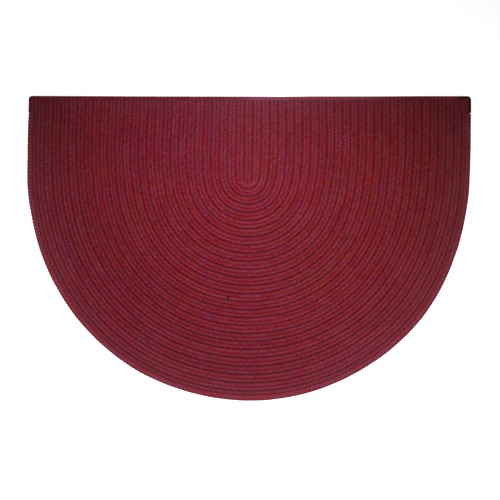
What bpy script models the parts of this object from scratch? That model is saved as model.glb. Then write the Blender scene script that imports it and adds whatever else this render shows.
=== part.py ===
"""Half-oval braided rug: a flat braid coiled from a straight core, sewn edge to edge, cut across and bound.

Plan while modelling: the cut edge lies along X at Y = 0, and the braids run down from it towards -Y, round
the half circle and back up. The finished rug is then moved so that its footprint is centred on the origin.
"""

import math

import bmesh
import bpy

# Driving dimensions, in metres
ROW_PITCH = 0.01385         # width of one braid once it is sewn to its neighbours
WRAPS = 27                  # braids outside the core braid, on each side
LEG = 0.1392                # straight run of every braid from the cut edge to the round end
THICKNESS = 0.009           # over the crowns of the braids
SEAM_DEPTH = 0.003          # upper groove between two sewn braids
UNDER_SEAM_DEPTH = 0.0024   # lower groove between two sewn braids
MIDDLE_DIP = 0.0009         # shallow valley where the two columns of plaits meet
CORNER_RADIUS = 0.005       # of the braids where the cut edge meets the sides
SEAT_GAP = 0.0003           # between the braids and the strip folded over them

TAPE = 0.0012               # thickness of the binding strip
TAPE_REACH = 0.006          # how far it covers the braids along the cut edge
TAPE_SIDE_REACH = 0.0034    # the same where it has turned a corner
TAPE_TURN = 0.027           # how far it runs down each side past the cut edge
TAPE_EDGE_ROUND = 0.0008    # softening of its two folds
CORNER_STEPS = 4

HALF_WIDTH = (WRAPS + 0.5) * ROW_PITCH
PINCH_TOP = THICKNESS - TAPE - SEAT_GAP
PINCH_BOTTOM = TAPE + SEAT_GAP
PINCH_END = TAPE_REACH + 0.0006     # braid ends are squashed this far from the cut edge
PINCH_RISE = 0.0029                 # and swell to full height over this length

# One braid across: (place in pitches from its middle, height), from its inner side to its outer seam
BRAID_TOP = (
    (-0.25, THICKNESS),
    (0.0, THICKNESS - MIDDLE_DIP),
    (0.25, THICKNESS),
    (0.5, THICKNESS - SEAM_DEPTH),
)
BRAID_UNDER = (
    (-0.25, 0.0),
    (0.25, 0.0),
    (0.5, UNDER_SEAM_DEPTH),
)
# The outermost braid rolls over to a narrow upright side
SHOULDER = 0.43
LAST_TOP = BRAID_TOP[:-1] + ((SHOULDER, 0.0072), (0.5, 0.0058))
LAST_UNDER = BRAID_UNDER[:-1] + ((SHOULDER, 0.0016), (0.5, 0.0032))

# Steps round the half circle: (braids up to this one, steps)
ARC_STEPS = ((3, 8), (11, 16), (WRAPS, 26))

# The outline is hand sewn and a little uneven:
# (share of the way round from the right cut end to the left one, metres outside an even outline)
UNEVEN_OUTLINE = (
    (0.00, -0.0008),
    (0.03, -0.0007),
    (0.06, -0.0009),
    (0.095, -0.0027),
    (0.14, -0.0043),
    (0.185, -0.0034),
    (0.23, -0.0008),
    (0.275, 0.0012),
    (0.36, 0.0007),
    (0.45, 0.0015),
    (0.53, 0.0013),
    (0.58, 0.0006),
    (0.63, 0.0015),
    (0.725, 0.0002),
    (0.815, -0.0016),
    (0.86, -0.0024),
    (0.905, -0.0004),
    (0.94, -0.0013),
    (0.962, -0.0015),
    (0.974, -0.0031),
    (1.00, -0.0040),
)
# The rows inside wander too, because each turn was begun a little early and the core leans to the left:
# (place along the braid, then the outward shift in pitches of each of the WANDERING_ROWS)
WANDERING_ROWS = (0, 3, 9, 15, 21)
ROW_SHIFTS = (
    (0.00, 0.00, 0.08, 0.12, 0.01, -0.03),
    (0.20, -0.03, 0.10, 0.14, 0.02, -0.04),
    (0.45, -0.07, 0.11, 0.16, 0.05, -0.04),
    (0.70, -0.10, 0.06, 0.15, 0.01, -0.08),
    (0.93, -0.16, -0.08, -0.03, -0.13, -0.21),
    (1.02, -0.18, -0.23, -0.21, -0.28, -0.37),
    (1.09, -0.20, -0.32, -0.36, -0.42, -0.48),
    (1.24, -0.20, -0.32, -0.26, -0.18, -0.23),
    (1.38, -0.13, -0.27, -0.17, -0.14, -0.21),
    (1.50, -0.06, -0.24, -0.15, -0.14, -0.21),
    (1.65, 0.02, -0.15, -0.14, -0.04, -0.15),
    (1.76, 0.08, -0.05, -0.14, -0.03, -0.20),
    (1.91, 0.20, 0.02, -0.06, -0.17, -0.40),
    (1.98, 0.18, 0.11, 0.05, -0.04, -0.30),
    (2.07, 0.16, 0.21, 0.19, 0.13, -0.15),
    (2.30, 0.10, 0.23, 0.28, 0.22, -0.08),
    (2.55, 0.07, 0.15, 0.22, 0.14, -0.11),
    (2.80, 0.03, 0.07, 0.06, -0.01, -0.19),
    (3.00, 0.00, 0.04, 0.02, -0.05, -0.22),
)
TURN_BEGINS = 0.8           # share of a leg down which the braids begin to turn
OUTER_PLACES = (0.27, 0.4, 0.6)     # more places on a leg where the outermost braid has points
# The cut edge dips a little in its middle: (X, metres below the corners)
UNEVEN_CUT = (
    (-0.37, 0.0),
    (-0.27, 0.0004),
    (-0.16, 0.0009),
    (0.0, 0.0012),
    (0.058, 0.0017),
    (0.11, 0.0009),
    (0.22, 0.0009),
    (0.30, 0.0004),
    (0.37, 0.0004),
)

# Places along a braid: 0 to 1 down the right leg, 1 to 2 round the half circle, 2 to 3 up the left leg
RIGHT_LEG_END = 1.0
ARC_END = 2.0
BRAID_END = 3.0

BRAID_COLOUR = (0.185, 0.013, 0.028, 1.0)
TAPE_COLOUR = (0.12, 0.010, 0.020, 1.0)
ROUGHNESS = 0.92


def read_table(table, x):
    """Straight-line reading of a two-column table."""
    if x <= table[0][0]:
        return table[0][1]
    for (x0, y0), (x1, y1) in zip(table, table[1:]):
        if x <= x1:
            return y0 + (y1 - y0) * (x - x0) / (x1 - x0)
    return table[-1][1]


def share_of_outline(along):
    """Place along a braid as a share of the outermost braid's length."""
    leg = LEG / (2 * LEG + math.pi * HALF_WIDTH)
    if along <= RIGHT_LEG_END:
        return leg * along
    if along <= ARC_END:
        return leg + (1 - 2 * leg) * (along - RIGHT_LEG_END)
    return 1 - leg * (BRAID_END - along)


def outward_shift(offset, along):
    """How far the line at this offset from the core lies outside an even one."""
    across = []
    for column, row in enumerate(WANDERING_ROWS, 1):
        places = [(shifts[0], shifts[column]) for shifts in ROW_SHIFTS]
        across.append((row * ROW_PITCH, read_table(places, along) * ROW_PITCH))
    across.append((HALF_WIDTH, read_table(UNEVEN_OUTLINE, share_of_outline(along))))
    return read_table(across, offset)


def plan_point(offset, along):
    """X and Y of the line that runs at an offset from the core, with the rug's unevenness."""
    reach = offset + outward_shift(offset, along)
    if RIGHT_LEG_END < along < ARC_END:
        angle = math.pi * (along - RIGHT_LEG_END)
        return reach * math.cos(angle), -LEG - reach * math.sin(angle)
    right = along <= RIGHT_LEG_END
    down = along if right else BRAID_END - along
    x = reach if right else -reach
    return x, -down * LEG - (1 - down) * read_table(UNEVEN_CUT, x)


def corner_drop(offset):
    """How far the rounded corner has fallen below the cut edge at this offset."""
    into = offset - (HALF_WIDTH - CORNER_RADIUS)
    if into <= 0:
        return 0.0
    return CORNER_RADIUS - math.sqrt(max(CORNER_RADIUS ** 2 - into ** 2, 0.0))


def leg_depths(offset):
    """Distances from the cut edge where a leg has points."""
    depths = [corner_drop(offset), PINCH_END, PINCH_END + PINCH_RISE]
    if offset > HALF_WIDTH - ROW_PITCH / 2:
        depths += [TAPE_TURN + SEAT_GAP, TAPE_TURN + SEAT_GAP + PINCH_RISE]
        depths += [place * LEG for place in OUTER_PLACES]
    return depths + [TURN_BEGINS * LEG, LEG]


def squashed(offset, depth, z):
    """Height of a point, held between the two faces of the binding where the strip covers it."""
    under_end = depth < PINCH_END + PINCH_RISE / 2
    at_side = offset > HALF_WIDTH - TAPE_SIDE_REACH - SEAT_GAP
    under_turn = at_side and depth < TAPE_TURN + PINCH_RISE / 2
    if under_end or under_turn:
        return min(max(z, PINCH_BOTTOM), PINCH_TOP)
    return z


def arc_steps(row):
    """Steps round the half circle for a braid: more of them further out."""
    return next(steps for last, steps in ARC_STEPS if row <= last)


def braid_line(bm, row, offset, z):
    """One line of vertices along a braid, from its right cut end to its left one, as (place, vertex) pairs."""
    places = [(depth / LEG, squashed(offset, depth, z)) for depth in leg_depths(offset)]
    right = [(place, bm.verts.new((*plan_point(offset, place), height))) for place, height in places]
    if offset == 0:
        # The core's middle line runs down to the centre of the half circle and back over the same points
        return right + [(BRAID_END - place, vert) for place, vert in reversed(right)]
    steps = arc_steps(row)
    round_end = [RIGHT_LEG_END + step / steps for step in range(1, steps)]
    arc = [(along, bm.verts.new((*plan_point(offset, along), z))) for along in round_end]
    left = [(BRAID_END - place, bm.verts.new((*plan_point(offset, BRAID_END - place), height)))
            for place, height in reversed(places)]
    return right + arc + left


def stitch(bm, line_a, line_b):
    """Triangles between two lines of (place, vertex) pairs, taken in the order of their places."""
    i = j = 0
    while i < len(line_a) - 1 or j < len(line_b) - 1:
        a, b = line_a[i][1], line_b[j][1]
        a_is_next = j == len(line_b) - 1
        if i < len(line_a) - 1 and j < len(line_b) - 1:
            a_is_next = line_a[i + 1][0] <= line_b[j + 1][0]
        if a_is_next:
            i += 1
            corners = (a, b, line_a[i][1])
        else:
            j += 1
            corners = (a, b, line_b[j][1])
        if len(set(corners)) == 3:
            bm.faces.new(corners)


def face_lines(bm, braid, last, core):
    """All the lines of one face of the rug, from the core out to the side, as (offset, line) pairs."""
    lines = [(across * ROW_PITCH, braid_line(bm, 0, across * ROW_PITCH, z)) for across, z in core]
    for row in range(1, WRAPS + 1):
        for across, z in last if row == WRAPS else braid:
            offset = (row + across) * ROW_PITCH
            lines.append((offset, braid_line(bm, row, offset, z)))
    return lines


def cut_line(lines):
    """The points on the cut edge of one face, from the right side to the left, as (place, vertex) pairs."""
    right = [(-offset, line[0][1]) for offset, line in reversed(lines)]
    left = [(offset, line[-1][1]) for offset, line in lines]
    return right + left[1:]


def braided_body():
    """The sewn braids as one flat solid, with a groove at every seam in both faces."""
    bm = bmesh.new()
    top = face_lines(bm, BRAID_TOP, LAST_TOP, BRAID_TOP[1:])
    under = face_lines(bm, BRAID_UNDER, LAST_UNDER, ((0.0, 0.0),) + BRAID_UNDER[1:])
    for lines in (top, under):
        for (_, inner), (_, outer) in zip(lines, lines[1:]):
            stitch(bm, inner, outer)
    stitch(bm, top[-1][1], under[-1][1])
    stitch(bm, cut_line(top), cut_line(under))
    bmesh.ops.recalc_face_normals(bm, faces=bm.faces)
    return bm


def binding_path():
    """The covered edge from the left turn to the right one, as (x, y, outward x, outward y, reach) rows."""
    side = TAPE_SIDE_REACH
    turns = []
    for sign, end in ((-1, BRAID_END), (1, 0.0)):
        low_x, low_y = plan_point(HALF_WIDTH, abs(end - TAPE_TURN / LEG))
        high_x, high_y = plan_point(HALF_WIDTH, abs(end - CORNER_RADIUS / LEG))
        edge_y = plan_point(HALF_WIDTH, end)[1]
        centre_x = high_x - sign * CORNER_RADIUS
        turn = [(low_x, low_y, sign, 0.0, side), (high_x, high_y, sign, 0.0, side)]
        for step in range(1, CORNER_STEPS + 1):
            angle = math.pi / 2 * step / CORNER_STEPS
            out_x, out_y = sign * math.cos(angle), math.sin(angle)
            x = centre_x + CORNER_RADIUS * out_x
            y = edge_y - CORNER_RADIUS + CORNER_RADIUS * out_y
            turn.append((x, y, out_x, out_y, side))
        turns.append(turn)
    left, right = turns
    # Past each corner the strip widens to its full reach over the length of one braid
    widened = HALF_WIDTH - CORNER_RADIUS - ROW_PITCH
    inner = [x for x, _ in UNEVEN_CUT if abs(x) < widened]
    straight = [(x, -read_table(UNEVEN_CUT, x), 0.0, 1.0, TAPE_REACH)
                for x in [-widened, *inner, widened]]
    return left + straight + right[::-1]


def binding_section(reach):
    """The folded strip cut across: (distance out from the braids' edge, height), as one closed outline."""
    outer = SEAT_GAP + TAPE
    soft = TAPE_EDGE_ROUND
    return (
        (-reach, THICKNESS),
        (outer - soft, THICKNESS),
        (outer, THICKNESS - soft),
        (outer, soft),
        (outer - soft, 0.0),
        (-reach, 0.0),
        (-reach, TAPE),
        (SEAT_GAP, TAPE),
        (SEAT_GAP, THICKNESS - TAPE),
        (-reach, THICKNESS - TAPE),
    )


def edge_binding():
    """The strip folded over the cut ends and turned round both corners."""
    bm = bmesh.new()
    rings = []
    for x, y, out_x, out_y, reach in binding_path():
        points = [(x + out * out_x, y + out * out_y, z) for out, z in binding_section(reach)]
        rings.append([bm.verts.new(point) for point in points])
    for ring, following in zip(rings, rings[1:]):
        for k in range(len(ring)):
            after = (k + 1) % len(ring)
            bm.faces.new((ring[k], ring[after], following[after], following[k]))
    bm.faces.new(rings[0])
    bm.faces.new(rings[-1])
    bmesh.ops.recalc_face_normals(bm, faces=bm.faces)
    bmesh.ops.triangulate(bm, faces=bm.faces)
    return bm


def yarn(name, colour):
    """A matt dyed fibre."""
    material = bpy.data.materials.new(name)
    material.use_nodes = True
    shader = material.node_tree.nodes["Principled BSDF"]
    shader.inputs["Base Color"].default_value = colour
    shader.inputs["Roughness"].default_value = ROUGHNESS
    shader.inputs["Metallic"].default_value = 0.0
    return material


def add_object(name, bm, material):
    """A finished mesh as a named object of the scene."""
    mesh = bpy.data.meshes.new(name)
    bm.to_mesh(mesh)
    bm.free()
    mesh.materials.append(material)
    part = bpy.data.objects.new(name, mesh)
    bpy.context.scene.collection.objects.link(part)
    return part


def centre_footprint(parts):
    """Moves the parts together so that the middle of the footprint is at X = Y = 0."""
    points = [v.co for part in parts for v in part.data.vertices]
    middle_x = (min(p.x for p in points) + max(p.x for p in points)) / 2
    middle_y = (min(p.y for p in points) + max(p.y for p in points)) / 2
    for part in parts:
        part.location = (-middle_x, -middle_y, 0.0)


def main():
    for existing in list(bpy.data.objects):
        bpy.data.objects.remove(existing, do_unlink=True)
    body = add_object("braided_body", braided_body(), yarn("braid_yarn", BRAID_COLOUR))
    binding = add_object("edge_binding", edge_binding(), yarn("binding_strip", TAPE_COLOUR))
    centre_footprint([body, binding])


main()
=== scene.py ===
"""Looks of the half-oval braided rug: plaited strands laid round the core, the bound cut edge and its sewing.

The plan is that of the solids: the cut edge lies along X at Y = 0, the core braid runs down from it
towards -Y at X = 0, and the other braids go down, round the half circle and back up. place() moves
plan points into the frame.
"""

import math

import bpy
import numpy as np
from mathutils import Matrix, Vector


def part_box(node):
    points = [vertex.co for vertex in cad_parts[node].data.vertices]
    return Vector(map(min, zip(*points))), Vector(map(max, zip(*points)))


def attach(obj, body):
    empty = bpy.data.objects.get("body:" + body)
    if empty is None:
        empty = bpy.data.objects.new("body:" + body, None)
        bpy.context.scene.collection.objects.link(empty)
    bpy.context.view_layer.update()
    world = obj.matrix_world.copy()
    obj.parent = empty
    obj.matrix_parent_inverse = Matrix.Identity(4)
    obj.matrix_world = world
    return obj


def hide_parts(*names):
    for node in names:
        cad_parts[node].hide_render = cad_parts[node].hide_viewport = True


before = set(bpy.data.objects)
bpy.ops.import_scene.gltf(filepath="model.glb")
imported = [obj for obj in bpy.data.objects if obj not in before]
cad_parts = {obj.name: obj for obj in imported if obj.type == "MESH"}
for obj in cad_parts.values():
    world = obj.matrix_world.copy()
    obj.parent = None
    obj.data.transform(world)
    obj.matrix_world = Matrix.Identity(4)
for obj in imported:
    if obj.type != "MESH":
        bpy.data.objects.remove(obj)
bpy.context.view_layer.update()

# Sizes of the solids, in metres
ROW_PITCH = 0.01385         # from braid to braid
WRAPS = 27                  # braids round the core braid
LEG = 0.1392                # from the cut edge to the centre of the half circle
THICKNESS = 0.009
MIDDLE = THICKNESS / 2
HALF_WIDTH = (WRAPS + 0.5) * ROW_PITCH
CORNER_RADIUS = 0.005
SEAT_GAP = 0.0003           # between the braids and the binding
TAPE = 0.0012               # thickness of the binding
TAPE_REACH = 0.0052         # how far it reaches over the braids, 0.8 mm less than the solid's
TAPE_SIDE_REACH = 0.0034    # and on the sides
TAPE_TURN = 0.027           # how far it runs down the sides
PINCH_SHARE = 1 - 2 * (TAPE + SEAT_GAP) / THICKNESS     # of the braids' height that is left inside it
PINCH_END = TAPE_REACH + 0.0006         # up to here they stay so flat,
PINCH_RISE = 0.0029                     # and over this length they rise

# (share of the way round from the right cut end to the left one, metres outside an even outline)
UNEVEN_OUTLINE = (
    (0.00, -0.0008),
    (0.03, -0.0007),
    (0.06, -0.0009),
    (0.095, -0.0027),
    (0.14, -0.0043),
    (0.185, -0.0034),
    (0.23, -0.0008),
    (0.275, 0.0012),
    (0.36, 0.0007),
    (0.45, 0.0015),
    (0.53, 0.0013),
    (0.58, 0.0006),
    (0.63, 0.0015),
    (0.725, 0.0002),
    (0.815, -0.0016),
    (0.86, -0.0024),
    (0.905, -0.0004),
    (0.94, -0.0013),
    (0.962, -0.0015),
    (0.974, -0.0031),
    (1.00, -0.0040),
)
# (place along the braid, then the outward shift in pitches of each of the WANDERING_ROWS)
WANDERING_ROWS = (0, 3, 9, 15, 21)
ROW_SHIFTS = (
    (0.00, 0.00, 0.08, 0.12, 0.01, -0.03),
    (0.20, -0.03, 0.10, 0.14, 0.02, -0.04),
    (0.45, -0.07, 0.11, 0.16, 0.05, -0.04),
    (0.70, -0.10, 0.06, 0.15, 0.01, -0.08),
    (0.93, -0.16, -0.08, -0.03, -0.13, -0.21),
    (1.02, -0.18, -0.23, -0.21, -0.28, -0.37),
    (1.09, -0.20, -0.32, -0.36, -0.42, -0.48),
    (1.24, -0.20, -0.32, -0.26, -0.18, -0.23),
    (1.38, -0.13, -0.27, -0.17, -0.14, -0.21),
    (1.50, -0.06, -0.24, -0.15, -0.14, -0.21),
    (1.65, 0.02, -0.15, -0.14, -0.04, -0.15),
    (1.76, 0.08, -0.05, -0.14, -0.03, -0.20),
    (1.91, 0.20, 0.02, -0.06, -0.17, -0.40),
    (1.98, 0.18, 0.11, 0.05, -0.04, -0.30),
    (2.07, 0.16, 0.21, 0.19, 0.13, -0.15),
    (2.30, 0.10, 0.23, 0.28, 0.22, -0.08),
    (2.55, 0.07, 0.15, 0.22, 0.14, -0.11),
    (2.80, 0.03, 0.07, 0.06, -0.01, -0.19),
    (3.00, 0.00, 0.04, 0.02, -0.05, -0.22),
)
# The outermost braids are sewn closer.
# (row, metres outside an even spacing on the right leg, on the arc and on the left leg)
CLOSER_ROWS = (
    (18, 0.0, 0.0, 0.0),
    (21, 0.0, -0.0003, 0.0),
    (23, 0.0, -0.0005, 0.0006),
    (24, 0.0, -0.0007, 0.0006),
    (25, -0.0003, -0.0009, 0.0005),
    (26, -0.0007, -0.0012, 0.0),
    (27, -0.0015, -0.0019, -0.0010),
)
# (place along the braid, how far its spacing has passed from the leg's to the arc's)
ARC_SPACING = (
    (1.05, 0.0),
    (1.30, 1.0),
    (1.75, 1.0),
    (2.00, 0.0),
)
# (X, metres below the corners)
UNEVEN_CUT = (
    (-0.37, 0.0),
    (-0.27, 0.0004),
    (-0.16, 0.0009),
    (0.0, 0.0012),
    (0.058, 0.0017),
    (0.11, 0.0009),
    (0.22, 0.0009),
    (0.30, 0.0004),
    (0.37, 0.0004),
)
OUTLINE_LENGTH = 2 * LEG + math.pi * HALF_WIDTH
LEG_SHARE = LEG / OUTLINE_LENGTH
HALF_WAY = 1.5              # place along a braid in the middle of the half circle
SOFTEN_OUTLINE = 0.012      # how far the corners of the two tables of shifts are rounded off
SOFTEN_ROWS = 0.05
SOFTEN_TAPS = 5
OUTLINE_POINTS = 1201

# One braid of three strands
STRANDS = 3
CYCLE = 0.0173              # length in which each strand has crossed to the far side and back
SWAY = 0.0042               # how far a strand's middle swings to each side
FLAT_TURN = 0.17            # how much flatter than a sine wave it lies where it turns back
RISE = 0.0018               # how far it swings up and down
STRAND_HALF_WIDTH = 0.0035
FULLNESS = 2.6              # power of a strand's outline in cross-section, where 2 is an ellipse
STRAND_HALF_HEIGHT = MIDDLE - RISE
STEPS = 12                  # rings of a strand in one cycle
SIDES = 8
STRAND_START = 0.0006       # from the cut edge to the first ring
CORE_TIP = 0.0100           # how far the core braid runs past the centre of the half circle
TIP_NARROWS = 0.94          # how much of the swing's square is lost there
CORNER_SWAY = 0.3           # least share of the swing where the corner is rounded

# Unevenness along a braid: its size, and the lengths of its waves
DRIFT = 0.00022
DRIFT_WAVES = (0.05, 0.11, 0.23)
DRIFT_START = 0.02          # from the cut edge to where the strands drift fully
SWELL = 0.04
SWELL_WAVES = (0.03, 0.07, 0.19)
TONE_SWING = 0.35
TONE_WAVES = (0.06, 0.17, 0.41)
TONE_SPREAD = 0.15          # from braid to braid, and from strand to strand
WAVE_SPREAD = (0.8, 1.25)   # how much a wave's length varies

# The middle of the sewn braids, which shows between the strands and is darkened with painted shade: half its
# height and its inset
SHEET_CROWN = 0.0022
SHEET_SEAM = 0.0018
SHEET_INSET = 0.0030
SHEET_START = 0.0010
SHEET_CORE = 0.25           # row of its innermost line
SHEET_PAINTED_SHADE = 0.6          # how deep its painted shade is
LEG_STEPS = 14
ARC_POINTS = 90

# Each piece of braid is a span of rows, so that none has too many faces: (first row, last row)
ROW_SPANS = ((0, 9), (10, 14), (15, 18), (19, 21), (22, 24), (25, 27))

SEED = 41


def smoothstep(low, high, x):
    """0 below low, 1 above high and a soft step between them."""
    t = np.clip((x - low) / (high - low), 0, 1)
    return t * t * (3 - 2 * t)


def table(rows, x, column=1, soften=0.0):
    """Straight-line reading of one column of a table, with its corners rounded off over a length."""
    places = [row[0] for row in rows]
    values = [row[column] for row in rows]
    if soften == 0.0:
        return np.interp(x, places, values)
    taps = np.linspace(-soften, soften, SOFTEN_TAPS)
    return np.mean([np.interp(x + tap, places, values) for tap in taps], axis=0)


def offset_of(row, along):
    """How far the middle of a braid lies from the core."""
    leg = np.where(along < HALF_WAY, table(CLOSER_ROWS, row, 1), table(CLOSER_ROWS, row, 3))
    return row * ROW_PITCH + leg + (table(CLOSER_ROWS, row, 2) - leg) * table(ARC_SPACING, along)


def outward_shift(offset, along):
    """How far the line at this offset from the core lies outside an even one."""
    share = np.interp(along, (0, 1, 2, 3), (0, LEG_SHARE, 1 - LEG_SHARE, 1))
    shifts = [ROW_PITCH * table(ROW_SHIFTS, along, k + 1, SOFTEN_ROWS) for k in range(len(WANDERING_ROWS))]
    shifts = np.stack(shifts + [table(UNEVEN_OUTLINE, share, 1, SOFTEN_OUTLINE)])
    knots = np.array([row * ROW_PITCH for row in WANDERING_ROWS] + [HALF_WIDTH])
    low = np.clip(np.searchsorted(knots, offset) - 1, 0, len(knots) - 2)
    part = (offset - knots[low]) / (knots[low + 1] - knots[low])
    inner = np.take_along_axis(shifts, low[None], 0)[0]
    outer = np.take_along_axis(shifts, low[None] + 1, 0)[0]
    return inner + (outer - inner) * part


def plan(offset, along):
    """X and Y in the plan; along is 0 to 1 on the right leg, to 2 on the arc, to 3 on the left leg."""
    offset, along = np.broadcast_arrays(np.asarray(offset, float), np.asarray(along, float))
    reach = offset + outward_shift(offset, along)
    angle = math.pi * np.clip(along - 1, 0, 1)
    down = np.clip(np.minimum(along, 3 - along), 0, 1)
    x = reach * np.cos(angle)
    y = -down * LEG - reach * np.sin(angle) - (1 - down) * table(UNEVEN_CUT, x)
    return x, y


def plan_origin():
    """Where the plan's X = 0 and Y = 0 lie in the frame."""
    outline_x, _ = plan(HALF_WIDTH, np.linspace(0, 3, OUTLINE_POINTS))
    low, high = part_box("braided_body")
    core_x = (low.x + high.x - outline_x.min() - outline_x.max()) / 2
    cut_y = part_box("edge_binding")[1].y - SEAT_GAP - TAPE
    return core_x, cut_y


CORE_X, CUT_Y = plan_origin()


def place(x, y, z):
    """Plan points as frame points."""
    x, y, z = np.broadcast_arrays(x + CORE_X, y + CUT_Y, z)
    return np.stack((x, y, z), axis=-1)


def along_of(row, s):
    """Place along a braid after s metres from the right cut end."""
    arc = math.pi * row * ROW_PITCH
    return np.interp(s, (0, LEG, LEG + arc, 2 * LEG + arc), (0, 1, 2, 3))


def wander(rng, s, size, waves):
    """Slow unevenness along a braid, as the mean of a few sine waves of these lengths."""
    total = np.zeros_like(s)
    for wave in waves:
        length = wave * rng.uniform(*WAVE_SPREAD)
        total += np.sin(2 * math.pi * (s / length + rng.uniform()))
    return size * total / len(waves)


def unit(vectors):
    """The same directions with a length of 1."""
    return vectors / np.linalg.norm(vectors, axis=-1, keepdims=True)


def sweep(centre, half_width, half_height, sides):
    """Rings of an oval tube along a line of points: half_width lies level, half_height stands across it.

    The width is one for each ring, or one for each ring and side.
    """
    half_width = np.broadcast_to(np.transpose(half_width), (sides, len(centre))).T
    forward = unit(np.gradient(centre, axis=0))
    level = unit(np.cross((0, 0, 1), forward))
    upward = np.cross(forward, level)
    turn = 2 * math.pi * np.arange(sides) / sides
    out = half_width[..., None] * full(np.cos(turn))[:, None] * level[:, None, :]
    up = np.asarray(half_height)[..., None, None] * full(np.sin(turn))[:, None] * upward[:, None, :]
    return centre[:, None, :] + out + up


def full(wave):
    """A sine or cosine as it runs round a strand's outline."""
    return np.sign(wave) * np.abs(wave) ** (2 / FULLNESS)


class Tubes:
    """Closed tubes of the same number of sides, collected into one mesh."""

    def __init__(self, sides):
        self.sides = sides
        self.points, self.quads, self.lengthwise, self.around = [], [], [], []
        self.values = {}
        self.count = 0

    def add(self, rings, lengths, around=None, **values):
        """One tube: the lengths at its rings and around them, and values for each ring or point."""
        rows, sides = rings.shape[:2]
        i = np.arange(rows - 1)[:, None]
        j = np.arange(sides)[None, :]
        after = (j + 1) % sides
        quads = np.stack((i * sides + j, i * sides + after, (i + 1) * sides + after, (i + 1) * sides + j), -1)
        self.quads.append(quads.reshape(-1, 4) + self.count)
        s = np.asarray(lengths)
        turns = np.arange(sides + 1) / sides if around is None else np.asarray(around)
        ones = np.ones((rows - 1, sides))
        here, there = s[:-1, None] * ones, s[1:, None] * ones
        self.lengthwise.append(np.stack((here, here, there, there), -1).reshape(-1, 4))
        a, b = ones * turns[:-1], ones * turns[1:]
        self.around.append(np.stack((a, b, b, a), -1).reshape(-1, 4))
        for ring, flip in ((0, True), (rows - 1, False)):
            for cap in cap_quads(sides):
                corners = np.array(cap[::-1] if flip else cap)
                self.quads.append(self.count + ring * sides + corners[None])
                self.lengthwise.append(np.full((1, 4), s[ring]))
                self.around.append(turns[corners][None])
        self.points.append(rings.reshape(-1, 3))
        for name, value in values.items():
            value = np.asarray(value, float)
            if value.ndim < 2:
                value = np.broadcast_to(value, rows)[:, None]
            self.values.setdefault(name, []).append(np.broadcast_to(value, (rows, sides)).ravel())
        self.count += rows * sides

    def piece(self, name, material):
        """All tubes as one object, with their maps and values."""
        quads = np.concatenate(self.quads)
        made = mesh_piece(name, np.concatenate(self.points), quads, material)
        uv = np.stack((np.concatenate(self.lengthwise), np.concatenate(self.around)), -1)
        add_map(made.data, "Along", uv)
        add_map(made.data, "OFBake", cell_map(len(quads)))
        for attribute, value in self.values.items():
            add_value(made.data, attribute, np.concatenate(value))
        return made


def cap_quads(sides):
    """Quads that close a ring with an even number of sides."""
    return [(k, k + 1, sides - 2 - k, sides - 1 - k) for k in range(sides // 2 - 1)]


def cell_map(count):
    """A map in which each quad has its own cell, in rows."""
    columns = math.ceil(math.sqrt(count))
    k = np.arange(count)
    u = (k % columns) / columns
    v = (k // columns) / columns
    cell = 1 / columns
    return np.stack((np.stack((u, v), -1), np.stack((u, v + cell), -1),
                     np.stack((u + cell, v + cell), -1), np.stack((u + cell, v), -1)), 1)


def mesh_piece(name, points, quads, material):
    """A new object in the scene from points and quads."""
    mesh = bpy.data.meshes.new(name)
    mesh.from_pydata(points.tolist(), [], quads.tolist())
    mesh.shade_smooth()
    mesh.materials.append(material)
    made = bpy.data.objects.new(name, mesh)
    bpy.context.scene.collection.objects.link(made)
    return made


def add_map(mesh, name, corners):
    """A map of the faces, with a place for each corner."""
    layer = mesh.uv_layers.new(name=name)
    layer.uv.foreach_set("vector", np.ascontiguousarray(corners, np.float32).ravel())


def add_value(mesh, name, values):
    """A value at each point, for the material to read."""
    attribute = mesh.attributes.new(name, "FLOAT", "POINT")
    attribute.data.foreach_set("value", np.ascontiguousarray(values, np.float32))


# Dark flecks where a strand was pieced, in the frame: (X, Y, radius)
FLECKS = (
    (-0.1820, 0.1564, 0.0035),
    (-0.0360, -0.0839, 0.0030),
)
FLECK_CORE = 0.5            # share of the radius that is darkest

# The yarn's colour isn't the same all over, and painted shade darkens the top-left corner: (X, Y, reach,
# share of fading, how much cooler, how much lighter)
CASTS = (
    (0.0, 0.26, 0.07, 0.10, 0.15, 0.0),
    (0.0, 0.0, 0.09, 0.03, 0.18, 0.0),
    (0.10, -0.07, 0.05, 0.03, 0.0, 0.0),
    (0.36, 0.18, 0.09, 0.0, -0.60, 0.0),
    (0.36, 0.00, 0.07, 0.0, -0.40, 0.0),
    (0.12, -0.02, 0.04, 0.0, -0.25, 0.0),
    (0.02, -0.20, 0.08, 0.0, 0.20, 0.0),
    (-0.14, 0.18, 0.045, 0.0, 0.4, 0.0),
    (-0.24, -0.13, 0.05, -0.03, 0.35, 0.0),
    (-0.34, 0.22, 0.07, 0.0, -0.15, 0.0),
    # painted shade: these two darken the top-left corner
    (-0.37, 0.25, 0.030, 0.0, 0.0, -2.0),
    (-0.37, 0.19, 0.045, -0.01, 0.0, -1.4),
    (-0.055, 0.155, 0.03, 0.0, 0.30, 0.0),
    (0.22, 0.20, 0.08, 0.018, -0.08, 0.0),
)
RIM_PAINTED_GLARE = 0.22           # painted glare: share to which it is paled at the rim
RIM_REACH = 0.055           # and how fast that lessens inwards
CUT_FADES = 2.5             # how many times faster it lessens from the cut edge


def cast(centre, to_rim):
    """How faded and how paled by painted glare at the rim, how cool and how light the yarn is, with painted
    shade at the top-left corner.
    """
    faded = RIM_PAINTED_GLARE * np.exp(-to_rim / RIM_REACH)
    cool = np.zeros(len(centre))
    light = np.zeros(len(centre))
    for x, y, reach, fading, cooler, lighter in CASTS:
        near = np.exp(-((centre[:, 0] - x) ** 2 + (centre[:, 1] - y) ** 2) / (2 * reach ** 2))
        faded += fading * near
        cool += cooler * near
        light += lighter * near
    return faded, cool, light


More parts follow.
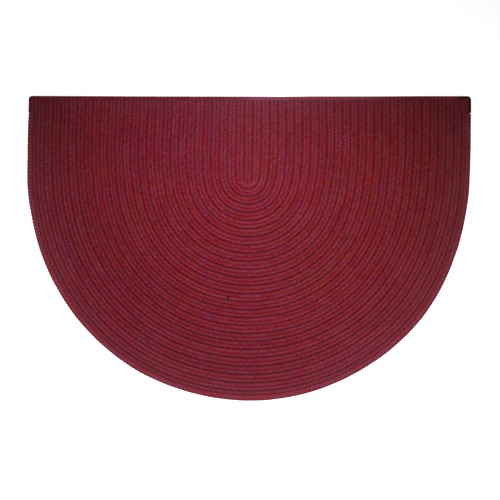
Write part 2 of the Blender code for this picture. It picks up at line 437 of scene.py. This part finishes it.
def fleck(centre):
    """1 on a pieced spot of the yarn, 0 away from it."""
    worst = np.zeros(len(centre))
    for x, y, radius in FLECKS:
        far = np.hypot(centre[:, 0] - x, centre[:, 1] - y)
        worst = np.maximum(worst, 1 - smoothstep(FLECK_CORE * radius, radius, far))
    return worst


# Painted shade in the valley of a braid and in the seam beside it, and how cool the valley is:
# (place along the braid, valley, seam, cooler)
GROOVE_PAINTED_SHADES = (
    (0.0, 0.50, 0.53, 0.10),
    (1.0, 0.50, 0.53, 0.10),
    (1.3, 0.84, 0.67, 0.04),
    (1.7, 0.90, 0.70, -0.02),
    (2.0, 0.68, 0.48, -0.08),
    (3.0, 0.68, 0.44, -0.08),
)
TURNED_ROW = 1              # this braid turns so sharply round the core's tip that its valley closes
TURN_CLOSES = 0.15          # share of the half circle over which it does
TURN_CROWDS = 0.35          # how much nearer its strands lie to each other there
TURN_OUT = 0.0017           # and how far they lie outwards
TURN_SEAM = 0.4             # place across it up to which its inner seam loses its painted shade too
SIDE_SHOWS = 0.36           # place across the outermost braid from which its side lies open
SIDE_RISE = 0.6 * SWAY      # how far from its middle a strand is fully on its side
FLANK = 0.0006              # how far beyond an even spacing the strands reach down the outermost braid's side
FLANK_TONE = 1.5            # and how much lighter they are there, and darker on the braid's other side


def turned_share(row, along):
    """How far a braid is in its sharp turn round the core's tip, which only the TURNED_ROW has."""
    if row != TURNED_ROW:
        return np.zeros_like(along)
    return smoothstep(0, TURN_CLOSES, along - 1) * smoothstep(0, TURN_CLOSES, 2 - along)


def sway_of(row, s, from_cut, turned):
    """How far the strands swing to each side: less at the core's tip, in a corner and in a sharp turn."""
    if row == 0:
        past = np.clip((s - LEG) / CORE_TIP, 0, 1)
        return SWAY * np.sqrt(1 - TIP_NARROWS * past ** 2)
    if row == WRAPS:
        depth = np.minimum(from_cut, CORNER_RADIUS)
        free = np.sqrt(CORNER_RADIUS ** 2 - (CORNER_RADIUS - depth) ** 2)
        return np.clip(SWAY - CORNER_RADIUS + free, CORNER_SWAY * SWAY, SWAY)
    return SWAY * (1 - TURN_CROWDS * turned)


def pinch_of(from_cut):
    """Share of the braid's height that is left, which is least under the binding."""
    return PINCH_SHARE + (1 - PINCH_SHARE) * smoothstep(PINCH_END, PINCH_END + PINCH_RISE, from_cut)


def strand_plan(row, s, along, middle, lateral):
    """X and Y in the plan of a strand's middle, this far to the side of its braid's."""
    if row > 0:
        return plan(middle + lateral, along)
    x = lateral + plan(0.0, np.minimum(s / LEG, 1.0))[0]
    y = -s - (1 - np.clip(s / LEG, 0, 1)) * table(UNEVEN_CUT, lateral)
    return x, y


def painted_groove_shades(along, across, turned):
    """How cool a braid's valley is, and how much painted shade lies in it and in the seam beside it."""
    valley = table(GROOVE_PAINTED_SHADES, along) * (1 - turned)
    seam = table(GROOVE_PAINTED_SHADES, along, 2)[:, None]
    seam = seam * (1 - turned[:, None] * (1 - smoothstep(0.0, TURN_SEAM, across)))
    return {"middle_cool": table(GROOVE_PAINTED_SHADES, along, 3), "valley": valley, "seam": seam}


def braid_row(tubes, row, rng):
    """The three strands of one braid, from the right cut end to the left one, or to the core's tip."""
    length = LEG + CORE_TIP if row == 0 else 2 * LEG + math.pi * row * ROW_PITCH
    last = length if row == 0 else length - STRAND_START
    s = np.linspace(STRAND_START, last, round(length / CYCLE * STEPS) + 1)
    from_cut = s if row == 0 else np.minimum(s, length - s)
    to_rim = np.minimum(CUT_FADES * from_cut, (WRAPS + 0.5 - row) * ROW_PITCH)
    along = along_of(row, s)
    middle = offset_of(row, along)
    turned = turned_share(row, along)
    sway = sway_of(row, s, from_cut, turned)
    pinch = pinch_of(from_cut)
    phase = 2 * math.pi * (s / CYCLE + rng.uniform())
    drift = wander(rng, s, DRIFT, DRIFT_WAVES) * smoothstep(0.0, DRIFT_START, from_cut) + TURN_OUT * turned
    swell = 1 + wander(rng, s, SWELL, SWELL_WAVES)
    tone_of_braid = rng.normal(0, TONE_SPREAD) + wander(rng, s, TONE_SWING, TONE_WAVES)
    outward = np.cos(2 * math.pi * np.arange(SIDES) / SIDES)
    for strand in range(STRANDS):
        turn = phase + 2 * math.pi * strand / STRANDS
        lateral = sway * (np.sin(turn) + FLAT_TURN * np.sin(3 * turn)) / (1 - FLAT_TURN) + drift
        squeeze = pinch
        tone = tone_of_braid + rng.normal(0, TONE_SPREAD)
        half_width = STRAND_HALF_WIDTH * swell[:, None] * np.ones(SIDES)
        if row == WRAPS:
            covered = 1 - smoothstep(TAPE_TURN, TAPE_TURN + PINCH_RISE, from_cut)
            at_side = smoothstep(0.0, SIDE_RISE, lateral)
            squeeze = np.minimum(pinch, 1 - (1 - PINCH_SHARE) * covered * at_side)
            flank = (FLANK + row * ROW_PITCH - middle) * (1 - covered) * at_side
            half_width += flank[:, None] * (outward > 0)
            tone = tone + FLANK_TONE * (lateral / SWAY) * (1 - covered)
        x, y = strand_plan(row, s, along, middle, lateral)
        centre = place(x, y, MIDDLE + RISE * np.sin(2 * turn) * squeeze)
        rings = sweep(centre, half_width, STRAND_HALF_HEIGHT * squeeze, SIDES)
        cut_line = CUT_Y - table(UNEVEN_CUT, rings[..., 0] - CORE_X)
        rings[..., 1] = np.minimum(rings[..., 1], cut_line)
        slant = np.arctan(np.gradient(lateral, s))[:, None]
        corners = half_width * full(outward)
        across = (lateral[:, None] + corners * np.cos(slant)) / ROW_PITCH
        run = s[:, None] - corners * np.sin(slant)
        # painted shade for the braid's valley and seams
        painted_grooves = painted_groove_shades(along, across, turned)
        if row == WRAPS:
            across = np.minimum(across, SIDE_SHOWS)
        # painted glare at the rim and painted shade at the top-left corner come with the casts
        faded, cool, light = cast(centre, to_rim)
        tubes.add(rings, s, tone=tone + light, fleck=fleck(centre), run=run, side=across, row=row,
                  faded=faded, cool=cool, **painted_grooves)


def sheet_lines():
    """The sheet's lines from the core outwards: their rows, and half its height on each."""
    rows, halves = [SHEET_CORE], [SHEET_CROWN]
    for row in range(WRAPS + 1):
        if row > 0:
            rows.append(row)
            halves.append(SHEET_CROWN)
        rows.append(row + 0.5)
        halves.append(SHEET_SEAM)
    return rows, np.array(halves)


def sheet_quads(lines, count):
    """Quads that close the sheet, over its upper points line by line and then its lower ones."""
    index = np.arange(lines * count).reshape(lines, count)
    below = index + lines * count

    def between(a, b, c, d):
        return np.stack((a, b, c, d), -1).reshape(-1, 4)

    top = between(index[:-1, :-1], index[:-1, 1:], index[1:, 1:], index[1:, :-1])
    right = index[0, :count // 2]
    left = index[0, ::-1][:count // 2]
    core = between(right[:-1], left[:-1], left[1:], right[1:])
    faces = np.concatenate((top, core))
    side = between(index[-1, :-1], index[-1, 1:], below[-1, 1:], below[-1, :-1])
    cut_right = between(index[:-1, 0], index[1:, 0], below[1:, 0], below[:-1, 0])
    cut_left = between(index[1:, -1], index[:-1, -1], below[:-1, -1], below[1:, -1])
    cut_core = np.array([[index[0, -1], index[0, 0], below[0, 0], below[0, -1]]])
    return np.concatenate((faces, faces[:, ::-1] + lines * count, side, cut_right, cut_left, cut_core))


def inner_sheet(name, material):
    """The middle of the sewn braids as one closed sheet, with its points in lines from the core outwards."""
    rows, halves = sheet_lines()
    leg = np.linspace(SHEET_START, LEG, LEG_STEPS) / LEG
    arc = 1 + (np.arange(ARC_POINTS) + 1) / (ARC_POINTS + 1)
    places = np.concatenate((leg, arc, 3 - leg[::-1]))
    row, along = np.meshgrid(rows, places, indexing="ij")
    offset = offset_of(row, along)
    offset[-1] -= SHEET_INSET
    x, y = plan(offset, along)
    half = halves[:, None] * pinch_of(LEG * np.minimum(along, 3 - along))
    upper, under = place(x, y, MIDDLE + half), place(x, y, MIDDLE - half)
    points = np.concatenate((upper.reshape(-1, 3), under.reshape(-1, 3)))
    quads = sheet_quads(len(rows), len(places))
    made = mesh_piece(name, points, quads, material)
    add_map(made.data, "OFBake", cell_map(len(quads)))
    # painted shade: the sheet is darkened like a braid's valley
    add_value(made.data, "valley", np.full(len(points), SHEET_PAINTED_SHADE))
    return made


# The binding: its folds, and how it lies over the braids
FOLD_RADIUS = 0.0025        # outside of each fold
FOLD_POINTS = 6
LIP_SHARES = (1.0, 0.9, 0.6, 0.3)       # places of its points from the lip to the fold
LIP_THINNED = 0.35          # share of its thickness that is left at the lip
RING_SPACING = 0.0012
SIDE_POINTS = 60            # of the path down a side, round a corner and along the cut edge
CORNER_POINTS = 24
EDGE_POINTS = 800
SOFTEN_CUT = 0.01
SEAM_DIP = 0.0003           # how far it sinks between two braids, at its lip
LIP_WANDER = 0.00035
LIP_WAVES = (0.012, 0.027, 0.06)
SINK_WANDER = 0.0002
SINK_WAVES = (0.0037, 0.0061, 0.009)
BINDING_SWING = 0.5         # of its tone
BINDING_WAVES = (0.03, 0.07, 0.15)

# The stitches over its lips
STITCH_SPACING = 0.0056
STITCH_RADIUS = 0.00026
STITCH_TONES = 0.3
FIRST_STITCH = (0.3, 0.7)   # spacings from the turned end
NEXT_STITCH = (0.85, 1.15)  # spacings from one to the next
STITCH_SLANT = (0.7, 1.3)
STITCHES_END = 0.003        # before the other turned end
THREAD_SIDES = 6
# Points of a stitch, from on the strip to in the braids: (out from the lip, up from the middle, along)
STITCH_CLIMB = np.array((
    (0.0016, MIDDLE - 0.0005, 0.0),
    (0.0013, MIDDLE - 0.0001, 0.0001),
    (0.0006, MIDDLE + 0.00005, 0.0005),
    (-0.0002, MIDDLE - 0.0002, 0.0010),
    (-0.0007, MIDDLE - 0.0009, 0.0014),
    (-0.0011, MIDDLE - 0.0019, 0.0017),
))

# How light the binding is, darkest at its left end with painted shade of the corner: (X in the frame, tone)
BINDING_TONES = (
    (-0.38, -3.8),
    (-0.335, -3.2),
    (-0.30, -2.5),
    (-0.22, -3.0),
    (-0.01, -2.6),
    (0.01, -0.3),
    (0.20, 0.1),
    (0.24, -2.0),
    (0.30, -2.0),
    (0.35, 1.4),
)
# How far it has faded to mauve: (X in the frame, share)
FADED = (
    (-0.18, 0.08),
    (-0.05, 0.15),
    (-0.01, 0.30),
    (0.01, 0.50),
    (0.05, 0.46),
    (0.08, 0.29),
    (0.20, 0.29),
    (0.26, 0.10),
)
# How dark its rim is near its ends: (metres from the right end, or from the left one, share)
DARK_RIM_RIGHT = (
    (0.0, 1.0),
    (0.022, 1.0),
    (0.026, 0.55),
    (0.031, 0.45),
    (0.035, 0.95),
    (0.043, 0.8),
    (0.054, 0.0),
)
DARK_RIM_LEFT = (
    (0.018, 0.0),
    (0.024, 0.6),
    (0.029, 0.6),
    (0.036, 0.0),
)
RIM = (-0.0028, -0.0006)    # where that rim begins and where it is dark in full, outwards from the cut edge


def binding_path():
    """The covered edge, left turned end to right: points, outward directions, reach and lengths."""
    turn = np.linspace(TAPE_TURN, CORNER_RADIUS, SIDE_POINTS) / LEG
    angle = np.linspace(0, math.pi / 2, CORNER_POINTS)[1:]
    sides = []
    for sign, along in ((-1, 3 - turn), (1, turn)):
        x, y = plan(HALF_WIDTH, along)
        edge_y = plan(HALF_WIDTH, along[-1] + (CORNER_RADIUS / LEG if sign < 0 else -CORNER_RADIUS / LEG))[1]
        corner_x = x[-1] - sign * CORNER_RADIUS * (1 - np.cos(angle))
        corner_y = edge_y - CORNER_RADIUS * (1 - np.sin(angle))
        y = np.interp(y, (y[0], y[-1]), (y[0], edge_y - CORNER_RADIUS))
        sides.append((np.concatenate((x, corner_x)), np.concatenate((y, corner_y))))
    (left_x, left_y), (right_x, right_y) = sides
    across = np.linspace(left_x[-1], right_x[-1], EDGE_POINTS)[1:-1]
    x = np.concatenate((left_x, across, right_x[::-1]))
    y = np.concatenate((left_y, -table(UNEVEN_CUT, across, 1, SOFTEN_CUT), right_y[::-1]))
    lengths = np.concatenate(([0], np.cumsum(np.hypot(np.diff(x), np.diff(y)))))
    corner_end = TAPE_TURN - CORNER_RADIUS + math.pi / 2 * CORNER_RADIUS
    s = np.linspace(0, lengths[-1], round(lengths[-1] / RING_SPACING) + 1)
    x, y = np.interp(s, lengths, x), np.interp(s, lengths, y)
    forward = unit(np.stack((np.gradient(x), np.gradient(y)), -1))
    past_corner = np.minimum(s, s[-1] - s) - corner_end
    reach = TAPE_SIDE_REACH + (TAPE_REACH - TAPE_SIDE_REACH) * smoothstep(0.0, ROW_PITCH, past_corner)
    return s, x, y, np.stack((-forward[:, 1], forward[:, 0]), -1), reach


def binding_section():
    """The folded strip from upper lip to lower: (share from fold to lip, out, height) and its normals."""
    fold = FOLD_RADIUS - TAPE / 2
    out, wall = SEAT_GAP + TAPE - FOLD_RADIUS, MIDDLE - FOLD_RADIUS
    angle = np.linspace(0, math.pi / 2, FOLD_POINTS)
    flat = np.array(LIP_SHARES)
    share = np.concatenate((flat, np.zeros(2 * len(angle)), flat[::-1]))
    curve_out = np.concatenate((fold * np.sin(angle), fold * np.cos(angle)))
    curve_up = np.concatenate((wall + fold * np.cos(angle), -wall - fold * np.sin(angle)))
    curve_normal = np.concatenate((angle, math.pi / 2 + angle))
    zeros = np.zeros(len(flat))
    outs = out + np.concatenate((zeros, curve_out, zeros))
    ups = np.concatenate((zeros + wall + fold, curve_up, zeros - wall - fold))
    normal = np.concatenate((zeros, curve_normal, zeros + math.pi))
    return share, outs, ups, np.sin(normal), np.cos(normal)


def binding(name, material, rng):
    """The strip, folded over the covered edge from one end to the other."""
    s, x, y, outward, reach = binding_path()
    share, outs, ups, normal_out, normal_up = binding_section()
    reach = reach + wander(rng, s, LIP_WANDER, LIP_WAVES)
    seam = 0.5 - 0.5 * np.cos(2 * math.pi * x / ROW_PITCH)
    on_edge = smoothstep(TAPE_TURN, TAPE_TURN + ROW_PITCH, np.minimum(s, s[-1] - s))
    sink = SEAM_DIP * seam * on_edge + np.abs(wander(rng, s, SINK_WANDER, SINK_WAVES))
    out = outs[None, :] - share[None, :] * (reach + outs[0])[:, None]
    up = ups[None, :] - np.sign(ups) * share[None, :] * sink[:, None]
    half = np.where(share == 1.0, LIP_THINNED, 1.0) * TAPE / 2
    rings = []
    for direction in (1, -1):
        ring_out = out + direction * (half * normal_out)[None, :]
        ring_up = up + direction * (half * normal_up)[None, :]
        side_x = x[:, None] + ring_out * outward[:, :1]
        side_y = y[:, None] + ring_out * outward[:, 1:]
        side = place(side_x, side_y, MIDDLE + ring_up)
        rings.append(side[:, ::direction])
    rings = np.concatenate(rings, axis=1)
    profile = rings[len(s) // 2]
    steps = np.linalg.norm(np.roll(profile, -1, axis=0) - profile, axis=-1)
    around = np.concatenate(([0], np.cumsum(steps)))
    tone = table(BINDING_TONES, x + CORE_X) + wander(rng, s, BINDING_SWING, BINDING_WAVES)
    darkened_rim = table(DARK_RIM_RIGHT, s[-1] - s) + table(DARK_RIM_LEFT, s)
    at_rim = smoothstep(*RIM, np.concatenate((outs, outs[::-1])))
    tubes = Tubes(rings.shape[1])
    tubes.add(rings[:, ::-1], s, around=around, tone=tone, run=s, side=around[:-1][None] / ROW_PITCH,
              faded=table(FADED, x + CORE_X), fleck=darkened_rim[:, None] * at_rim[::-1])
    return tubes.piece(name, material)


def stitches(name, material, rng):
    """Slanting stitches over both lips of the binding."""
    s, x, y, outward, reach = binding_path()
    tubes = Tubes(THREAD_SIDES)
    climb_out, climb_up, climb_along = STITCH_CLIMB.T
    radius = np.full(len(STITCH_CLIMB), STITCH_RADIUS)
    for face in (1, -1):
        here = STITCH_SPACING * rng.uniform(*FIRST_STITCH)
        while here < s[-1] - STITCHES_END:
            at = here + climb_along * rng.uniform(*STITCH_SLANT)
            out = climb_out - np.interp(at, s, reach)
            stitch_x = np.interp(at, s, x) + out * np.interp(at, s, outward[:, 0])
            stitch_y = np.interp(at, s, y) + out * np.interp(at, s, outward[:, 1])
            centre = place(stitch_x, stitch_y, MIDDLE + face * climb_up)
            rings = sweep(centre, radius, radius, THREAD_SIDES)
            tone = table(BINDING_TONES, centre[0, 0]) + rng.normal(0, STITCH_TONES)
            tubes.add(rings, at, tone=tone, run=at, faded=table(FADED, centre[0, 0]))
            here += STITCH_SPACING * rng.uniform(*NEXT_STITCH)
    return tubes.piece(name, material)


# The plies twisted into a strand, and the weave of the binding
PLIES = 5
PLY_TURN = 0.009            # length in which a ply winds once round the strand
PLY_RIDGE = 0.0004          # how high it stands up
WEAVE = 0.0016              # two threads of the weave
THREAD_RIDGE = 0.00015

# The yarn's surface
ROUGHNESS = 0.92
GLOSS = 0.1
STREAK = 1.5                # how much longer than broad its spots of colour are
LONG_STREAK = 12.0          # and its streaks
ROWS_APART = 0.13           # keeps the colours of two braids apart
FIBRES = (900.0, 0.3)       # fineness and contrast of its fibres
NAP = 4.7                   # how far they stand up, where its plies' ridges are 1
BUMP = 0.6
# How light, how cool, how unworn and how red it is: fineness, contrast of the spots and of the streaks
LIGHT_PATCHES = (220.0, 0.35, 0.25)
COOL_PATCHES = (230.0, 4.0, 2.8)
UNWORN_PATCHES = (290.0, 3.6, 3.0)
RED_PATCHES = (130.0, 3.5, 2.0)
TONE_SHARE = 0.08           # how much lighter one step of a piece's tone makes it
DARK_END = 0.2              # shades between which the dye goes from dark to light
LIGHT_END = 0.8
PAINTED_SHADE_POWER = 2.0          # how narrow the painted shade in the valley and the seam is

# Its dyes: dark and light
WARM = ((0.198, 0.0168, 0.0210), (0.439, 0.066, 0.0590))
COOL = ((0.188, 0.0134, 0.041), (0.421, 0.054, 0.127))
VALLEY_PAINTED_SHADE = (0.62, 0.06, 0.12)        # painted shade: what is left of the colour deep in a braid's valley
SEAM_PAINTED_SHADE = (0.36, 0.05, 0.10)          # and in the seam beside it, also painted shade
UNWORN_TINT = (0.97, 0.40, 0.47)        # and where its nap isn't worn pale
DULLER_TINT = (0.86, 1.0, 0.97)         # the two between which its red varies in patches
REDDER_TINT = (1.0, 0.80, 0.87)
DARK_MARK = (0.010, 0.012, 0.011)
# the pale colour of faded yarn, and of painted sheen and glare
FADE_AND_SHEEN_COLOUR = (0.32, 0.110, 0.165)
CREST_PAINTED_SHEEN = 1.25         # painted sheen: how many times stronger the fading is on the crests, where grooves have none


class Nodes:
    """The nodes of one material."""

    def __init__(self, material):
        material.use_nodes = True
        self.tree = material.node_tree
        self.shader = self.tree.nodes["Principled BSDF"]

    def new(self, kind, **settings):
        """A new node with these properties."""
        made = self.tree.nodes.new(kind)
        for name, value in settings.items():
            setattr(made, name, value)
        return made

    def link(self, source, target):
        """Feeds an output to a socket."""
        self.tree.links.new(source, target)

    def feed(self, value, socket):
        """Sets a number or a colour on a socket, or links an output to it."""
        if isinstance(value, tuple):
            socket.default_value = (*value, 1)
        elif isinstance(value, (int, float)):
            socket.default_value = value
        else:
            self.link(value, socket)

    def maths(self, operation, *values):
        """The result of one operation on numbers or outputs."""
        made = self.new("ShaderNodeMath", operation=operation)
        for socket, value in zip(made.inputs, values):
            self.feed(value, socket)
        return made.outputs[0]

    def around_half(self, *parts):
        """Half and all these together, held between 0 and 1."""
        total = 0.5
        for part in parts:
            total = self.maths("ADD", part, total)
        total.node.use_clamp = True
        return total

    def attribute(self, name):
        """A value that the mesh has at its points."""
        return self.new("ShaderNodeAttribute", attribute_name=name).outputs["Fac"]

    def mix(self, factor, a, b, blend="MIX"):
        """Colour a, with b mixed in or multiplied in by this share."""
        made = self.new("ShaderNodeMix", data_type="RGBA", blend_type=blend)
        for name, value in (("Factor", factor), ("A", a), ("B", b)):
            self.feed(value, made.inputs[name])
        return made.outputs["Result"]

    def ramp(self, factor, dark, light):
        """The dark dye up to one shade, the light one from another and a blend between them."""
        made = self.new("ShaderNodeValToRGB")
        for element, position, dye in zip(made.color_ramp.elements, (DARK_END, LIGHT_END), (dark, light)):
            element.position = position
            element.color = (*dye, 1)
        self.link(factor, made.inputs["Fac"])
        return made.outputs["Color"]

    def noise(self, places, fineness, contrast):
        """Random patches, as much above 0 as below it."""
        made = self.new("ShaderNodeTexNoise")
        made.inputs["Scale"].default_value = fineness
        self.link(places, made.inputs["Vector"])
        return self.maths("MULTIPLY", self.maths("SUBTRACT", made.outputs["Fac"], 0.5), contrast)


def yarn_places(nodes, stretch):
    """Places on the yarn, on which a noise's spots are this much longer than broad."""
    made = nodes.new("ShaderNodeCombineXYZ")
    nodes.link(nodes.maths("DIVIDE", nodes.attribute("run"), stretch), made.inputs["X"])
    nodes.link(nodes.maths("MULTIPLY", nodes.attribute("side"), ROW_PITCH), made.inputs["Y"])
    nodes.link(nodes.maths("MULTIPLY_ADD", nodes.attribute("row"), ROWS_APART, stretch), made.inputs["Z"])
    return made.outputs["Vector"]


def dyed(nodes, places, fibres, wave):
    """Yarn between its warm and its cool dye; its shade varies by strand, in blotches and by fibre."""
    long_places = yarn_places(nodes, LONG_STREAK)

    def patches(fineness, in_spots, in_streaks):
        return nodes.noise(places, fineness, in_spots), nodes.noise(long_places, fineness, in_streaks)

    tone = nodes.maths("MULTIPLY", nodes.attribute("tone"), TONE_SHARE)
    shade = nodes.around_half(tone, nodes.maths("ADD", *patches(*LIGHT_PATCHES)), fibres)
    in_middle = nodes.maths("MULTIPLY", nodes.attribute("middle_cool"), wave)
    hue = nodes.around_half(*patches(*COOL_PATCHES), nodes.attribute("cool"), in_middle)
    colour = nodes.mix(hue, nodes.ramp(shade, *WARM), nodes.ramp(shade, *COOL))
    unworn = nodes.around_half(*patches(*UNWORN_PATCHES))
    colour = nodes.mix(unworn, colour, UNWORN_TINT, "MULTIPLY")
    redder = nodes.around_half(*patches(*RED_PATCHES))
    return nodes.mix(1.0, colour, nodes.mix(redder, DULLER_TINT, REDDER_TINT), "MULTIPLY")


def used(nodes, colour, wave):
    """The yarn with painted shade in its grooves, paled by fading and by painted sheen and glare, and with
    its dark marks.
    """
    painted_grooves = []
    # painted shade: the valley and the seam darkened in the colour
    for name, side, tint in (("valley", "MAXIMUM", VALLEY_PAINTED_SHADE), ("seam", "MINIMUM", SEAM_PAINTED_SHADE)):
        narrow = nodes.maths("POWER", nodes.maths(side, wave, 0.0), PAINTED_SHADE_POWER)
        painted_groove = nodes.maths("MULTIPLY", nodes.attribute(name), narrow)
        colour = nodes.mix(painted_groove, colour, tint, "MULTIPLY")
        painted_grooves.append(painted_groove)
    # painted sheen and glare: paler on the crests and at the rim
    crest = nodes.maths("SUBTRACT", CREST_PAINTED_SHEEN, nodes.maths("ADD", *painted_grooves))
    colour = nodes.mix(nodes.maths("MULTIPLY", nodes.attribute("faded"), crest), colour, FADE_AND_SHEEN_COLOUR)
    return nodes.mix(nodes.attribute("fleck"), colour, DARK_MARK)


def twisted_plies(nodes, along, around):
    """Ridges that wind round a strand."""
    return nodes.maths("SINE", nodes.maths("ADD", nodes.maths("MULTIPLY", along, 2 * math.pi / PLY_TURN),
                                           nodes.maths("MULTIPLY", around, 2 * math.pi * PLIES)))


def woven_threads(nodes, along, around):
    """Over and under of a plain weave."""
    turn = 2 * math.pi / WEAVE
    waves = [nodes.maths("SINE", nodes.maths("MULTIPLY", way, turn)) for way in (along, around)]
    return nodes.maths("MULTIPLY", *waves)


def raised(nodes, ridges, ridge_height, fibres):
    """A surface with these ridges, and with its fibres standing up."""
    parts = nodes.new("ShaderNodeSeparateXYZ")
    nodes.link(nodes.new("ShaderNodeUVMap", uv_map="Along").outputs["UV"], parts.inputs[0])
    nap = nodes.maths("MULTIPLY", fibres, NAP)
    bump = nodes.new("ShaderNodeBump")
    bump.inputs["Strength"].default_value = BUMP
    bump.inputs["Distance"].default_value = ridge_height
    height = nodes.maths("ADD", ridges(nodes, parts.outputs["X"], parts.outputs["Y"]), nap)
    nodes.link(height, bump.inputs["Height"])
    return bump.outputs["Normal"]


def fabric(name, ridges, ridge_height):
    """Matt yarn, twisted or woven."""
    material = bpy.data.materials.new(name)
    nodes = Nodes(material)
    sockets = nodes.shader.inputs
    sockets["Roughness"].default_value = ROUGHNESS
    sockets["Specular IOR Level"].default_value = GLOSS
    places = yarn_places(nodes, STREAK)
    fibres = nodes.noise(places, *FIBRES)
    # 1 in a braid's valley and -1 in the seams beside it
    wave = nodes.maths("COSINE", nodes.maths("MULTIPLY", nodes.attribute("side"), 2 * math.pi))
    nodes.link(used(nodes, dyed(nodes, places, fibres, wave), wave), sockets["Base Color"])
    nodes.link(raised(nodes, ridges, ridge_height, fibres), sockets["Normal"])
    return material


YARN = fabric("braid_yarn", twisted_plies, PLY_RIDGE)
STRIP = fabric("binding_strip", woven_threads, THREAD_RIDGE)


def braids():
    """The braids in spans of rows."""
    rng = np.random.default_rng(SEED)
    pieces = []
    for first, last in ROW_SPANS:
        tubes = Tubes(SIDES)
        for row in range(first, last + 1):
            braid_row(tubes, row, rng)
        pieces.append(tubes.piece(f"braids_{first}_{last}", YARN))
    return pieces


BRAIDS = braids()
SHEET = inner_sheet("braids_inside", YARN)
for piece in BRAIDS + [SHEET]:
    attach(piece, "root")
    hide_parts("braided_body")
EDGING = [binding("binding", STRIP, np.random.default_rng(SEED + 1)),
          stitches("binding_stitches", STRIP, np.random.default_rng(SEED + 2))]
for piece in EDGING:
    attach(piece, "root")
    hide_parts("edge_binding")


FLOOR_REACH = 12.0
FLOOR_Z = -0.0004           # just under the strands
FLOOR_COLOUR = (0.9, 0.9, 0.9, 1)
FLOOR_ROUGHNESS = 0.9
FLOOR_GLOW = 0.9
WHITE = (1, 1, 1, 1)


def floor():
    """A plain pale floor, which is lit evenly."""
    mesh = bpy.data.meshes.new("floor")
    signs = ((-1, -1), (1, -1), (1, 1), (-1, 1))
    corners = [(x * FLOOR_REACH, y * FLOOR_REACH, FLOOR_Z) for x, y in signs]
    mesh.from_pydata(corners, [], [(0, 1, 2, 3)])
    material = bpy.data.materials.new("floor")
    material.use_nodes = True
    shader = material.node_tree.nodes["Principled BSDF"]
    shader.inputs["Base Color"].default_value = FLOOR_COLOUR
    shader.inputs["Roughness"].default_value = FLOOR_ROUGHNESS
    shader.inputs["Emission Color"].default_value = WHITE
    shader.inputs["Emission Strength"].default_value = FLOOR_GLOW
    mesh.materials.append(material)
    made = bpy.data.objects.new("floor", mesh)
    bpy.context.scene.collection.objects.link(made)


LAMP_HEIGHT = 1.6
LAMP_RADIUS = 0.12
WORLD_STRENGTH = 0.02
# (name, X, Y, half the angle of its cone, watts)
LAMPS = (
    ("key", -0.070, -0.276, 0.543, 75.0),
    ("right", 0.120, 0.020, 0.221, 20.3),
    ("top", -0.045, 0.203, 0.187, 22.8),
)


def lamp(name, x, y, half_cone, power):
    """A soft lamp that shines straight down and fades towards the rim of its cone."""
    light = bpy.data.lights.new(name, "SPOT")
    light.spot_size = 2 * half_cone
    light.spot_blend = 1.0
    light.shadow_soft_size = LAMP_RADIUS
    light.energy = power
    made = bpy.data.objects.new(name, light)
    made.location = (x, y, LAMP_HEIGHT)
    bpy.context.scene.collection.objects.link(made)


def studio():
    """Floor, lamps and a faint even light from all round."""
    floor()
    for settings in LAMPS:
        lamp(*settings)
    world = bpy.data.worlds.new("studio")
    world.use_nodes = True
    world.node_tree.nodes["Background"].inputs["Color"].default_value = WHITE
    world.node_tree.nodes["Background"].inputs["Strength"].default_value = WORLD_STRENGTH
    bpy.context.scene.world = world
    bpy.context.scene.view_settings.view_transform = "Standard"


CAMERA_HEIGHT = 2.4
PICTURE_WIDTH = 0.858       # what the picture spans at the rug's upper face
PICTURE_CENTRE = (0.0010, -0.0033)
SENSOR = 36.0
FARTHEST_SEEN = 50.0


def camera():
    """Straight above the rug, with the cut edge at the top."""
    lens = bpy.data.cameras.new("camera")
    lens.sensor_width = SENSOR
    lens.lens = SENSOR * (CAMERA_HEIGHT - THICKNESS) / PICTURE_WIDTH
    lens.clip_end = FARTHEST_SEEN
    made = bpy.data.objects.new("camera", lens)
    made.location = (*PICTURE_CENTRE, CAMERA_HEIGHT)
    bpy.context.scene.collection.objects.link(made)
    bpy.context.scene.camera = made


studio()
camera()
